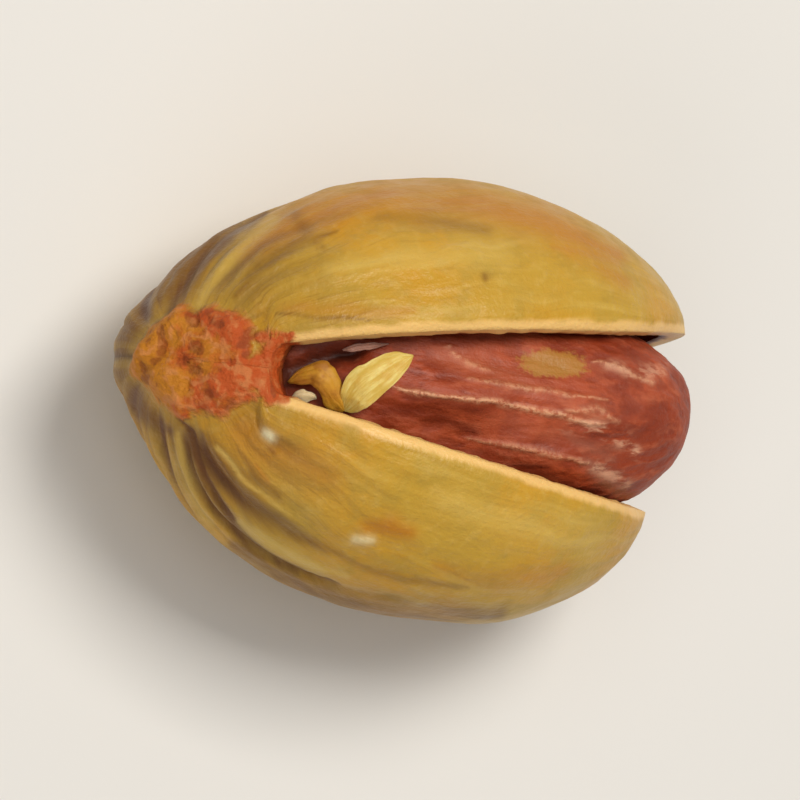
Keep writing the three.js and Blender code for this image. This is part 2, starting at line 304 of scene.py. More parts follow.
def unit(vector):
    return vector / np.linalg.norm(vector, axis=-1, keepdims=True)


SCAR_CENTRE = closed_point(SCAR_PLACE, 0.0, 1, 0)
TIP = closed_point(np.pi, 0.0, 1, 0)
SCAR_TO_TIP = unit(TIP - SCAR_CENTRE)
SCAR_TANGENT = unit(closed_point(SCAR_PLACE + 0.01, 0.0, 1, 0) - SCAR_CENTRE)


def outward(points):
    """The outward direction of the closed shell at each point."""
    return unit(points / (np.array([LENGTH, THICKNESS, HEIGHT]) / 2) ** 2)


SHELL_FACING = (-0.5, 0.1)


def facing_slant(closed):
    """1 where the shell faces the slant, fading away round its outline to 0 on the far side."""
    return smoothstep(outward(closed) @ SLANT_OUT, *SHELL_FACING)


def scar_reach(points):
    """Distance from the scar's middle as a share of its own half size, and distance along it."""
    lengthwise = (points - SCAR_CENTRE) @ SCAR_TANGENT
    bearing = np.arctan2(points[..., 1], lengthwise)
    broad, narrow = SCAR_RAGGED
    ragged = 1 + broad * np.sin(5 * bearing + 0.8) + narrow * np.sin(9 * bearing)
    reach = np.hypot(lengthwise / SCAR_HALF_LENGTH, points[..., 1] / SCAR_HALF_WIDTH)
    return reach * ragged, lengthwise


def scar_relief(points):
    """The scar's raised pad, with its lumps and the pit in its middle."""
    reach, lengthwise = scar_reach(points)
    pad = 1 - smoothstep(reach, *SCAR_FADE)
    lumps = np.sin(3.1 * lengthwise + 1) * np.sin(3.7 * points[..., 1] + 0.6)
    pit = bell(reach, SCAR_PIT_SHARE)
    return pad * (SCAR_RISE + SCAR_LUMP * lumps - SCAR_PIT * pit)


def rays(points):
    """Bearing round the line from the scar to the tip, distance from the scar and from that line."""
    offset = points - SCAR_CENTRE
    distance = np.linalg.norm(offset, axis=-1)
    across = offset - (offset @ SCAR_TO_TIP)[..., None] * SCAR_TO_TIP
    bearing = np.arctan2(np.abs(points[..., 1]), across[..., 2])
    return bearing, distance, np.linalg.norm(across, axis=-1)


def groove_relief(bearing, distance, radius, grooves, swell):
    """Relief of a set of grooves with swollen ribs beside them, and a mask of the grooves."""
    on = distance - GROOVE_BASE
    relief = 0
    mask = 0
    for start, turn, bend, depth, half_width, end in grooves:
        line = start - turn * on - bend * on * np.abs(on)
        gap = (bearing - line) * radius / half_width
        left = 1 - smoothstep(distance, GROOVE_BASE, end)
        trough = np.exp(-gap * gap)
        relief = relief + left * (swell * bell(gap, RIB_SPREAD) - depth * trough)
        mask = np.maximum(mask, np.minimum(1, depth / DARKEST_GROOVE_DEPTH) * left * trough)
    return relief, mask


def rib_reach(distance, aside):
    """Where the ribs show at all: off the scar and off the suture."""
    return smoothstep(distance, *RIB_RISE) * smoothstep(aside, *OFF_SUTURE)


def margin_relief(points, along):
    """The sunk seam where the halves are joined, and the lip and rounded edge where they part."""
    aside = np.abs(points[..., 1])
    start = np.where(points[..., 2] > 0, SPLIT_START, BACK_SPLIT_START)
    opening = smoothstep(along, start - SPLIT_EASE, start + SPLIT_EASE)
    seam = bell(aside, SEAM_WIDTH)
    lip = bell(aside, LIP_WIDTH)
    off_tip = smoothstep(np.pi - along, *OFF_TIP)
    off_scar = smoothstep(np.linalg.norm(points - SCAR_CENTRE, axis=-1), *OFF_SCAR)
    rounded = MARGIN_ROUND * np.maximum(0, 1 - aside / MARGIN_WIDTH) ** 2
    split = opening * off_tip * (LIP_RISE * lip - rounded)
    return off_scar * (split - SEAM_DEPTH * seam * (1 - opening))


def swell_relief(points):
    x, y, z = np.moveaxis(points, -1, 0)
    slow = np.sin(0.55 * x + 0.4) * np.sin(0.7 * z + 0.35 * y)
    return SWELL * slow + 0.5 * SWELL * np.sin(1.1 * x + 0.8 * y)


HINGE = closed_point(HINGE_START, 0.0, 1, 0)
HINGE_BACK = closed_point(HINGE_END, np.pi, 1, 0)
HINGE_LINE = unit((HINGE - HINGE_BACK) * np.array([1, 0, 1]))
PAST_HINGE = np.array([HINGE_LINE[2], 0, -HINGE_LINE[0]])
HALF_ANGLE = np.arcsin(TIP_GAP / 2 / ((TIP - HINGE) @ PAST_HINGE))


def joined_share(along, around):
    """0 on the suture where it is still closed, 1 away from it and where it has split."""
    share = smoothstep(along, 0, HINGE_START)
    for start, angle in ((SPLIT_START, around), (BACK_SPLIT_START, np.pi - around)):
        split = np.sqrt(np.clip((along - start) / SPLIT_ROUNDING, 0, 1))
        web = smoothstep(angle, 0, WEB_ANGLE)
        share = share * (web + (1 - web) * split)
    return share


def opened(points, side, along, around):
    """The points of one half turned about the hinge line, easing in across it."""
    joined = joined_share(along, around)
    reach = (points - HINGE) @ PAST_HINGE
    aside = np.abs(points[..., 1])
    softness = HINGE_SOFTNESS + BELLY_SOFTNESS * aside
    eased = softness * np.logaddexp(0, reach / softness) * joined
    begun = joined / (1 + np.exp(-reach / softness))
    outwards = eased * np.sin(HALF_ANGLE) - aside * begun * (1 - np.cos(HALF_ANGLE))
    backwards = eased * (1 - np.cos(HALF_ANGLE)) + aside * begun * np.sin(HALF_ANGLE)
    turned = points - backwards[..., None] * PAST_HINGE
    lean = TIP_LEAN * smoothstep(along, LEAN_START, np.pi) if side > 0 else 0
    turned[..., 1] += side * outwards + lean
    return turned


# The sharp floor of the -Y half's deepest groove, as right, up and share of its width, and small
# lumps of that half as right, up, half width, half height and rise
DEEP_GROOVE = [(-7.5, -0.6, 0.4), (-7.0, -1.1, 0.8), (-6.85, -1.8, 1), (-6.6, -2.6, 1), (-6.1, -3.5, 1),
               (-5.6, -4.3, 1), (-5.0, -4.9, 0.9), (-4.2, -5.4, 0.7), (-3.2, -5.9, 0.5), (-2.0, -6.3, 0.2)]
DEEP_GROOVE_DEPTH = 0.12
DEEP_GROOVE_WIDTH = 0.13
LUMPS = [(-4.35, -1.15, 0.22, 0.19, 0.16), (-1.2, -4.7, 0.4, 0.2, 0.09), (-4.3, -1.62, 0.2, 0.15, -0.08)]
VEIN_RISE = 0.03
STEM_VEIN_RISE = 0.05
DIMPLE_RISE = 0.02
GRAIN_RISE = 0.005
VEINS_BEGIN = (1.6, 2.8)
STEM_VEINS_END = (5, 15)
VEINS_OFF_SEAM = (0.1, 0.9)


def fine_relief(closed, points, side, bearing, distance):
    """Relief of the outer face that is too small for the solids, and a mask of its deep groove."""
    flow = np.stack([bearing * 5.0, distance * 0.45, np.full_like(bearing, 3.7 * side)], axis=-1)
    near = smoothstep(distance, *VEINS_BEGIN)
    fade = 1 - smoothstep(distance, *STEM_VEINS_END)
    veins = noise_over(flow, 1.0) + 0.5 * noise_over(flow, 2.3, 4.0)
    off_seam = smoothstep(np.abs(closed[..., 1]), *VEINS_OFF_SEAM)
    relief = (VEIN_RISE + STEM_VEIN_RISE * fade) * veins * near * off_seam
    relief = relief + DIMPLE_RISE * rough_over(closed, 0.8, 2) * off_seam
    relief = relief + GRAIN_RISE * rough_over(closed, 4.0, 2, 2.0)
    if side > 0:
        return relief, 0
    places = on_slant(points)
    facing = facing_slant(closed)
    groove = stroke(places, DEEP_GROOVE, DEEP_GROOVE_WIDTH) * facing
    for x, y, half_wide, half_high, rise in LUMPS:
        relief = relief + rise * blot(places, x, y, half_wide, half_high) * facing
    return relief - DEEP_GROOVE_DEPTH * groove, groove


TORN_FADE = (0.75, 1.2)
STRAND_RISE = 0.12
CRUMB_RISE = 0.1
TORN_RISE = 0.07


def scar_fibres(closed):
    """The scar's torn fibres, rough crests that run towards its middle, and the scar's masks."""
    reach, lengthwise = scar_reach(closed)
    pad = 1 - smoothstep(reach, *TORN_FADE)
    bearing = np.arctan2(closed[..., 1], lengthwise)
    spokes = np.stack([np.cos(bearing) * 2.2, np.sin(bearing) * 2.2, reach * 0.9], axis=-1)
    strands = creased_over(spokes, 1.6, 2, 3.0)
    crumbs = creased_over(closed, 1.5, 3, 1.0)
    hollows = rough_over(closed, 0.9, 2, 9.0)
    relief = STRAND_RISE * (strands - 0.5) + CRUMB_RISE * (crumbs - 0.55) + TORN_RISE * hollows
    return pad * relief, {"scar": pad, "scar_along": lengthwise, "crumbs": crumbs}


UNSPLIT = 9.0  # an angle that stands for no split
SPLIT_SLACK = 0.02
LEAST_GIRTH = 0.05
SEAM_LINE_WIDTH = 0.16
SEAM_STAIN = (1.0, 2.5)


def margin_distance(along, around):
    """Distance in millimetres from the nearest edge that has split."""
    top = np.where(along >= SPLIT_START - SPLIT_SLACK, around, UNSPLIT)
    back = np.where(along >= BACK_SPLIT_START - SPLIT_SLACK, np.pi - around, UNSPLIT)
    return np.minimum(top, back) * (HEIGHT / 2) * np.maximum(np.sin(along), LEAST_GIRTH)


def outer_sheet(side, rows):
    """The outer face of one half, with its masks."""
    along, around = np.meshgrid(rows, steps(*OUTER_COLUMNS), indexing="ij")
    closed = closed_point(along, around, side, 0)
    bearing, distance, radius = rays(closed)
    ribs = rib_reach(distance, np.abs(closed[..., 1]))
    ribbed, groove = groove_relief(bearing, distance, radius, GROOVES[side], RIB_SWELL)
    coarse = scar_relief(closed) + margin_relief(closed, along) + swell_relief(closed)
    direction = outward(closed)
    raised = closed + (coarse + ribbed * ribs)[..., None] * direction
    points = opened(raised, side, along, around)
    fine, deep = fine_relief(closed, points, side, bearing, distance)
    waver = 0.03 * rough_over(closed, 0.5, 2, 11.0)
    narrow, lines = groove_relief(bearing + waver, distance, radius, FINE_GROOVES[side], 0)
    fine = fine + narrow * ribs
    torn, scar = scar_fibres(closed)
    fine = (fine * (1 - scar["scar"]) + torn) * calm_ends(along, SHELL_CALM)
    points = points + fine[..., None] * direction
    points[..., 2] = np.maximum(points[..., 2], REST_HEIGHT)
    margin = margin_distance(along, around)
    seam = bell(closed[..., 1], SEAM_LINE_WIDTH) * smoothstep(margin, *SEAM_STAIN)
    masks = {
        "ray_x": bearing,
        "ray_y": distance,
        "ray_z": side,
        "groove": np.maximum(np.maximum(groove, lines) * ribs, deep),
        "margin": margin,
        "seam": seam,
    }
    marks = PLUS_MARKS if side > 0 else MINUS_MARKS
    places = strayed(points, closed, 0.9, (3.0, 17.0))
    return points, masks | scar | drawn_masks(marks, places, facing_slant(closed))


INNER_UNEVENNESS = 0.03
INNER_EDGE = 0.2


def inner_sheet(side, rows):
    """The inner face of one half, slightly uneven off its edges."""
    along, around = np.meshgrid(rows, steps(*INNER_COLUMNS), indexing="ij")
    closed = closed_point(along, around, side, WALL)
    edge = np.minimum(around, np.pi - around)
    calm = smoothstep(edge, 0, INNER_EDGE) * calm_ends(along, SHELL_CALM)
    uneven = INNER_UNEVENNESS * rough_over(closed, 0.7, 2, 5.0) * calm
    return opened(closed + uneven[..., None] * outward(closed), side, along, around)


def place_object(name, data):
    """A new object in the scene."""
    made = bpy.data.objects.new(name, data)
    bpy.context.scene.collection.objects.link(made)
    return made


class Mesh:
    """Collects sheets of points into one mesh, with a number for each point under each name."""

    def __init__(self, *names):
        self.points = []
        self.faces = []
        self.values = {name: [] for name in names}
        self.count = 0

    def add_sheet(self, points, flip, **values):
        """Adds a grid of points as four-sided faces. flip turns the faces round."""
        rows, columns = points.shape[:2]
        corner = self.count + np.arange(rows * columns).reshape(rows, columns)
        a, b = corner[:-1, :-1], corner[1:, :-1]
        c, d = corner[1:, 1:], corner[:-1, 1:]
        quads = np.stack([a, d, c, b] if flip else [a, b, c, d], axis=-1)
        self.faces.append(quads.reshape(-1, 4))
        self.points.append(points.reshape(-1, 3))
        for name, held in self.values.items():
            value = np.broadcast_to(np.asarray(values.get(name, 0.0), float), (rows, columns))
            held.append(value.reshape(-1))
        self.count += rows * columns

    def finish(self, name, node, material):
        """Joins points that share a place, and makes the piece that stands for a node."""
        points = np.concatenate(self.points)
        _, first, shared = np.unique(
            np.round(points, 4), axis=0, return_index=True, return_inverse=True
        )
        faces = shared.reshape(-1)[np.concatenate(self.faces)]
        places = (points[first] + AXIS_PLACE) * MILLIMETRE
        mesh = bpy.data.meshes.new(name)
        corners = [list(dict.fromkeys(face)) for face in faces.tolist()]
        mesh.from_pydata(places.tolist(), [], [face for face in corners if len(face) > 2])
        for key, held in self.values.items():
            layer = mesh.attributes.new(key, "FLOAT", "POINT")
            layer.data.foreach_set("value", np.concatenate(held)[first].astype(np.float32))
        mesh.polygons.foreach_set("use_smooth", [True] * len(mesh.polygons))
        mesh.validate()
        mesh.materials.append(material)
        piece = place_object(name, mesh)
        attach(piece, "root")
        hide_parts(node)


RIM_BULGE = 0.07
RIM_EASE = 0.12
RIM_DARK = (0.4, 1)  # dark towards the inside
RIM_APEX = (0.04, 0.16)  # rusty where the split begins


def rim_sheet(outer, inner, rows, start, column, side):
    """The rounded cut face of the wall along one line of the split, with its masks."""
    first = int(np.argmax(rows >= start)) - 1
    outside = outer[first:, column]
    inside = inner[first:, column]
    share = np.linspace(0, 1, RIM_STEPS + 1)[None, :, None]
    span = outside[:, None] * (1 - share) + inside[:, None] * share
    share = share[..., 0]
    past = rows[first:, None] - start
    rough = 0.5 + rough_over(span, 2.2, 2, 6.0)
    bulge = RIM_BULGE * np.sin(np.pi * share) * smoothstep(past, 0, RIM_EASE) * rough
    span[..., 1] -= side * bulge
    depth = smoothstep(share, *RIM_DARK)
    apex = 1 - smoothstep(past, *RIM_APEX)
    dark = np.maximum(0.9 * depth, apex)
    return span, {"inside": dark, "rust": apex * (1 - depth), "crumbs": 0.5, "scar_along": 2}


SHELL_MASKS = (
    "ray_x", "ray_y", "ray_z", "groove", "scar", "scar_along", "crumbs", "margin", "seam", "inside",
    "brown", "amber", "pale", "painted_highlight", "rust",
)
# Marks of each half on the slanted flat by their kind. Each is a strength, a half width, and a path
# as right, up and share of the width. Some are painted highlights and painted shade, as noted with them.
PLUS_MARKS = {
    "brown": [
        # Along the deep groove: its own brown and painted shade
        (0.85, 0.34, [(-7.7, 2.9, 0.6), (-7.2, 3.9, 1), (-6.6, 4.8, 1), (-5.7, 5.6, 0.8),
                      (-4.6, 6.3, 0.4)]),
        # Painted shadow: this stroke and the next darken the stem side of this half beyond its deep groove
        (0.8, 0.8, [(-8.6, 3.2, 0.6), (-7.9, 4.2, 1), (-7.0, 5.2, 1), (-5.6, 6.2, 0.5)]),
        (0.8, 0.4, [(-9.7, 0.9, 1), (-9.4, 2.0, 1), (-8.8, 3.0, 1), (-8.0, 3.6, 0.6)]),
        (0.4, 0.26, [(-3.6, 6.3, 0.8), (-3.0, 5.5, 1), (-2.6, 5.1, 0.4)]),
        (0.6, 0.24, [(-5.6, 3.5, 0.4), (-4.7, 4.5, 1), (-3.6, 5.2, 0.9), (-2.2, 5.7, 0.3)]),
        (0.55, 0.08, [(-4.2, 2.9, 0.5), (-2.6, 2.78, 1), (-1.0, 2.7, 0.5)]),
        (0.45, 0.3, [(-0.8, 6.2, 0.4), (1.0, 6.1, 1), (3.0, 5.7, 0.6)]),
        (0.8, 0.12, [(2.84, 4.18, 1), (2.95, 4.12, 1)]),
    ],
    "amber": [
        # Partly painted shade: the darker band along this half's upper outline, over its own amber
        (0.8, 0.75, [(-5.2, 5.0, 0.5), (-3.2, 6.2, 1), (-0.6, 6.8, 1), (2.4, 6.7, 1), (5.2, 6.0, 0.9),
                     (7.4, 4.9, 0.6)]),
        (0.6, 0.4, [(5.2, 5.2, 0.4), (6.6, 4.9, 1), (7.7, 4.0, 0.8)]),
        (0.45, 0.35, [(-3.9, 3.1, 0.6), (-2.0, 3.0, 1), (0.4, 2.95, 0.4)]),
    ],
    # Painted light: the bright edge where light catches a rib near the stem, and the lit middle of this
    # half
    "pale": [
        (0.6, 0.3, [(-6.8, 3.3, 0.4), (-6.0, 4.4, 0.8), (-5.2, 5.3, 1), (-4.2, 6.1, 0.6)]),
        (0.5, 0.5, [(-2.4, 4.4, 0.4), (0.5, 4.9, 1), (3.4, 4.9, 0.8)]),
    ],
    "rust": [
        (0.7, 0.3, [(-5.4, 2.0, 1), (-4.6, 2.1, 0.9), (-3.6, 2.2, 0.3)]),
        (1.0, 0.42, [(-4.9, 1.1, 1), (-4.5, 1.3, 1), (-4.2, 1.8, 0.9), (-3.8, 2.05, 0.5)]),
    ],
}
MINUS_MARKS = {
    "brown": [
        # Along a wide groove: its own brown and painted shade
        (0.7, 0.42, [(-6.6, -1.2, 0.4), (-5.9, -2.6, 1), (-4.9, -3.6, 1), (-3.4, -4.6, 0.6),
                     (-1.8, -5.3, 0.2)]),
        (0.6, 0.16, [(-5.5, -1.6, 0.3), (-4.9, -2.5, 1), (-4.0, -3.3, 0.6)]),
        # Partly painted shadow: the dark band along this half's lower outline, over the groove's brown
        # run-out
        (0.8, 0.5, [(-5.6, -5.0, 0.5), (-4.2, -6.0, 1), (-2.0, -6.9, 1), (0.6, -7.3, 0.9),
                    (3.4, -7.3, 0.5)]),
        (0.5, 0.2, [(-2.6, -5.0, 0.3), (-0.6, -5.9, 1), (2.2, -6.4, 0.4)]),
        # Painted shade in the small dip beside the lit lump
        (0.6, 0.12, [(-4.36, -1.6, 1), (-4.2, -1.75, 0.8)]),
        # Along the deepest groove: its own brown and painted shade
        (0.9, 0.2, [(-7.1, -1.0, 0.7), (-6.85, -1.9, 1), (-6.5, -2.9, 1), (-5.6, -4.3, 1),
                    (-4.6, -5.2, 0.8), (-3.2, -5.9, 0.5)]),
        (0.8, 0.4, [(-9.5, 0.9, 1), (-9.1, 0.1, 1), (-8.5, -0.6, 0.8), (-7.8, -1.0, 0.5)]),
    ],
    "amber": [
        (0.85, 0.42, [(-1.1, -4.3, 0.7), (-0.3, -4.3, 1), (0.3, -4.5, 0.7)]),
        (0.5, 0.8, [(-5.3, -1.1, 0.6), (-3.9, -1.9, 1), (-2.4, -2.6, 0.7)]),
        (0.8, 0.09, [(-4.9, -2.15, 0.7), (-4.4, -2.75, 1)]),
        (0.4, 0.5, [(1.2, -5.6, 0.4), (3.4, -6.2, 1), (5.6, -5.8, 0.5)]),
    ],
    # Painted highlights along the lit crests of the ribs by the stem, and painted light on the lit lower
    # right of this half
    "pale": [
        (0.5, 0.22, [(-7.5, -1.1, 0.5), (-7.35, -2.2, 1), (-7.0, -3.2, 1), (-6.4, -4.2, 0.5)]),
        (0.7, 0.2, [(-6.2, -1.6, 0.4), (-5.4, -2.5, 0.4), (-3.8, -3.9, 0.3)]),
        (0.8, 0.2, [(-5.4, -4.1, 0.6), (-4.5, -4.9, 1), (-3.3, -5.5, 0.8), (-1.8, -6.0, 0.3)]),
        (0.5, 1.0, [(1.5, -3.4, 0.5), (4.0, -4.2, 1), (6.4, -4.6, 0.7)]),
    ],
    # Painted highlights: the glints on the lump near (-4.4, -1.15) and on the pale oval near (-1.2, -4.7)
    "painted_highlight": [
        (0.9, 0.17, [(-4.46, -1.1, 1), (-4.3, -1.2, 1)]),
        (0.7, 0.17, [(-1.45, -4.7, 1), (-1.0, -4.72, 1)]),
    ],
    "rust": [
        (0.8, 0.34, [(-6.6, 0.1, 0.7), (-5.6, 0.1, 1), (-4.9, 0.1, 0.7)]),
        (1.0, 0.42, [(-4.9, 1.0, 1), (-4.5, 0.6, 1), (-4.3, 0.2, 0.9), (-3.9, 0.0, 0.4)]),
    ],
}


INNER_MARGIN = 5  # keeps the inner face clear of the pale margin


def make_shell():
    rows = steps(*SHELL_ROWS)
    shell = Mesh(*SHELL_MASKS)
    for side in (1, -1):
        outer, masks = outer_sheet(side, rows)
        inner = inner_sheet(side, rows)
        shell.add_sheet(outer, side < 0, **masks)
        shell.add_sheet(inner, side > 0, margin=INNER_MARGIN, inside=1, ray_z=side)
        for start, column, flip in ((SPLIT_START, 0, side > 0), (BACK_SPLIT_START, -1, side < 0)):
            rim, masks = rim_sheet(outer, inner, rows, start, column, side)
            shell.add_sheet(rim, flip, **masks)
    shell.finish("shell_skin", "shell", shell_look())


KERNEL_MASKS = ("ridge", "mealy", "bruise", "spot", "wrinkle", "rose", "dark", "shaded_hollow")
KERNEL_FACING = (0.1, 0.5)
FOLD_RISE = 0.09
WRINKLE_RISE = 0.06
SKIN_ROUGHNESS = 0.012
FLAKE_RISE = 0.1
HOLLOW_DEPTH = 0.5
# The pale line of the kernel's seam and the wrinkles beside it, on the slanted flat
SEAM_LINE_RISE = 0.11
SEAM_LINE_HALF_WIDTH = 0.09
SIDE_LINE_RISE = 0.07
SIDE_LINE_HALF_WIDTH = 0.12
SIDE_LINE_PALENESS = 0.6
SEAM_LINE = [(-0.3, 0.5, 0.5), (0.6, 0.22, 0.9), (1.6, 0.1, 0.8), (2.8, -0.02, 1), (4.0, -0.25, 1.2),
             (5.2, -0.5, 1.3), (6.0, -0.7, 1), (6.9, -0.8, 0.6)]
KERNEL_SIDE_LINES = [
    [(2.2, 0.75, 0.4), (3.6, 0.5, 0.8), (5.4, 0.2, 0.7), (7.0, 0.0, 0.3)],
    [(6.6, 1.4, 0.3), (7.6, 1.1, 1), (8.6, 0.6, 0.6)],
    [(5.6, -0.4, 0.5), (6.6, -0.3, 1), (7.4, -0.7, 0.6)],
    [(2.4, -1.4, 0.4), (4.4, -1.7, 0.9), (6.4, -2.1, 0.5)],
    [(1.6, 1.8, 0.3), (2.3, 1.3, 0.9), (3.2, 0.9, 0.6)],
]
# A pale spot: right, up, half width, half height and turn
KERNEL_SPOT = (5.3, 1.26, 1.2, 0.52, -0.08)
# Discoloured places and painted shade by their kind, each a strength, a half width and a path
KERNEL_MARKS = {
    "bruise": [
        (1.0, 0.38, [(6.4, -2.1, 0.5), (7.0, -2.7, 1), (7.5, -3.1, 0.9)]),
        (0.6, 0.25, [(5.7, -1.2, 0.6), (6.5, -1.6, 1), (7.3, -2.1, 0.7)]),
    ],
    "mealy": [
        (1.0, 0.3, [(5.6, -0.9, 0.6), (6.5, -0.9, 1), (7.5, -1.3, 1), (8.2, -1.9, 0.5)]),
        (0.7, 0.3, [(7.2, 1.2, 0.5), (8.4, 0.9, 1), (9.0, 1.1, 0.8)]),
        (0.8, 0.3, [(6.2, -2.0, 0.4), (7.1, -2.5, 1), (7.8, -2.9, 0.6)]),
    ],
    "rose": [
        (0.9, 0.6, [(1.4, 1.5, 0.5), (2.4, 1.3, 1), (3.6, 0.9, 0.8), (4.6, 0.4, 0.4)]),
        (0.5, 0.5, [(3.0, -0.6, 0.4), (5.0, -1.2, 1), (6.8, -0.2, 0.8)]),
    ],
    # Painted shade: the dark under the shell's apex at the kernel's stem end, where the skin also dips
    "shaded_hollow": [
        (1.0, 0.6, [(-4.4, 0.9, 1), (-3.4, 0.9, 1), (-2.6, 1.3, 0.9), (-1.4, 1.7, 0.5)]),
    ],
    "dark": [
        (0.9, 0.34, [(-0.6, -0.4, 0.6), (0.6, -0.35, 1), (1.6, -0.7, 0.8), (2.6, -1.2, 0.4)]),
        (0.8, 0.2, [(0.2, 0.1, 0.4), (1.4, -0.12, 1), (2.8, -0.35, 0.6)]),
        # Painted shadow cast by the upper rim just under its edge
        (0.7, 0.24, [(1.2, 2.0, 0.6), (2.3, 2.0, 1), (3.4, 2.1, 0.5)]),
        (0.5, 0.5, [(6.8, 2.0, 0.5), (8.2, 1.9, 1), (9.0, 1.9, 0.8)]),
        (0.45, 0.4, [(7.4, -0.3, 0.5), (8.6, -0.4, 1), (9.0, -1.4, 0.8)]),
    ],
}


def kernel_relief(points, on_top):
    """The solid's own relief: a wavy seam along the top between two shallow hollows."""
    x = points[..., 0] - KERNEL_CENTRE[0]
    wave = 0.22 * np.sin(0.8 * x + 0.5) + 0.08 * np.sin(2.3 * x)
    ends = smoothstep(x, -6.5, -3.5) * (1 - smoothstep(x, 4.0, 7.5))
    aside = points[..., 1] - wave
    seam = bell(aside, KERNEL_RIDGE_WIDTH)
    furrow = bell(np.abs(aside) - KERNEL_FURROW_PLACE, KERNEL_FURROW_WIDTH)
    swell = np.sin(0.9 * x + 0.7 * points[..., 1])
    swell = swell * np.sin(0.8 * points[..., 2] + 1.3 * points[..., 1])
    return on_top * ends * (KERNEL_RIDGE * seam - KERNEL_FURROW * furrow) + KERNEL_SWELL * swell


def kernel_body(along, around):
    """The kernel's plain points, the directions out from its long axis, its girth and its relief."""
    power = 2 / np.where(along > np.pi / 2, KERNEL_TIP_BLUNTNESS, KERNEL_BLUNTNESS)
    girth = np.sin(along).clip(0) ** power
    x = -np.sign(np.cos(along)) * np.abs(np.cos(along)) ** power
    spoke_y, spoke_z = np.sin(around), np.cos(around)
    taper = np.where(spoke_z < 0, 1 - KERNEL_TAPER * smoothstep(x, -0.3, 0.8), 1)
    under = 1 - smoothstep(spoke_z, 0.45, 1)
    flank = 1 - KERNEL_NARROWING * smoothstep(x, 0.3, 0.9) * under
    half_long, half_wide, half_high = KERNEL_HALF
    wide = girth * spoke_y * half_wide * flank
    points = KERNEL_CENTRE + np.stack(
        [x * half_long, wide, girth * spoke_z * half_high * taper], axis=-1
    )
    spoke = np.stack([np.zeros_like(x), spoke_y, spoke_z], axis=-1)
    coarse = kernel_relief(points, smoothstep(spoke_z, 0.2, 0.8))
    points[..., 0] += KERNEL_SKEW * points[..., 1] * smoothstep(x, 0, 1)
    return points, spoke, girth, coarse


def kernel_drawing(points, spoke):
    """The kernel's seam line, its side lines and the masks of its discoloured places and painted shade."""
    facing = smoothstep(spoke @ SLANT_OUT, *KERNEL_FACING)
    places = strayed(points, points, 1.3, (4.0, 14.0))
    masks = drawn_masks(KERNEL_MARKS, places, facing)
    masks["spot"] = blot(places, *KERNEL_SPOT) * facing
    ridge = stroke(places, SEAM_LINE, SEAM_LINE_HALF_WIDTH) * facing
    sides = 0
    for path in KERNEL_SIDE_LINES:
        sides = np.maximum(sides, stroke(places, path, SIDE_LINE_HALF_WIDTH) * facing)
    return ridge, sides, masks


def kernel_sheet():
    """The kernel's wrinkled skin, with its masks."""
    along, around = np.meshgrid(steps(*KERNEL_ROWS), steps(*KERNEL_COLUMNS), indexing="ij")
    points, spoke, girth, coarse = kernel_body(along, around)
    ridge, sides, masks = kernel_drawing(points, spoke)
    stretch = points * np.array([0.45, 1.0, 1.0])
    folds = creased_over(stretch, 0.55, 2, 2.0)
    wrinkles = creased_over(stretch, 1.6, 3, 8.0)
    skin = FOLD_RISE * (folds - 0.5) + WRINKLE_RISE * (wrinkles - 0.5)
    skin = skin + SKIN_ROUGHNESS * rough_over(points, 3.5, 2)
    relief = coarse + skin + SEAM_LINE_RISE * ridge + SIDE_LINE_RISE * sides
    relief = relief + FLAKE_RISE * masks["mealy"] * (creased_over(points, 1.4, 2, 3.0) - 0.5)
    relief = relief - HOLLOW_DEPTH * masks["shaded_hollow"]
    calm = calm_ends(along, KERNEL_CALM)
    points = points + (relief * np.minimum(1, girth * 1.5) * calm)[..., None] * spoke
    masks["ridge"] = np.maximum(ridge, SIDE_LINE_PALENESS * sides)
    masks["wrinkle"] = 0.6 * wrinkles + 0.4 * folds
    return points, masks


def make_kernel():
    points, masks = kernel_sheet()
    kernel = Mesh(*KERNEL_MASKS)
    kernel.add_sheet(points, False, **masks)
    kernel.finish("kernel_skin", "kernel", kernel_look())


